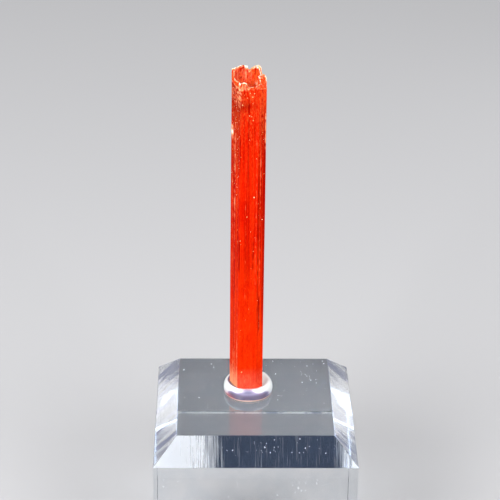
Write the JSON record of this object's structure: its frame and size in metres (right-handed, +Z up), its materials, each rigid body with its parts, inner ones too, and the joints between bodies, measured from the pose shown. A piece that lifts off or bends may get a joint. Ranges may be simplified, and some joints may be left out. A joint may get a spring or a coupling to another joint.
{
  "type": "crocoite crystal on a display block",
  "caption": "Straight striated red-orange crocoite crystal with a hollow broken end, held upright by a ring of clear glue on a clear acrylic display block with bevelled top edges.",
  "frame": {"origin": "centre of the block's underside", "axes": "+Z up along the crystal, -Y towards the side that the crystal's widest clean face looks to, +X to the right seen from there"},
  "size_m": [0.0254, 0.0254, 0.068],
  "materials": {
    "acrylic": "clear acrylic, polished on its faces, with fine saw and polishing marks across the bevels",
    "glue": "clear glue, set smooth and glossy",
    "crocoite": "glassy to adamantine red-orange crystal, striated lengthwise, with a pale frosty broken edge"
  },
  "bodies": {
    "root": {"acrylic_block": "acrylic", "glue_bead": "glue", "crocoite_crystal": "crocoite"}
  },
  "joints": []
}
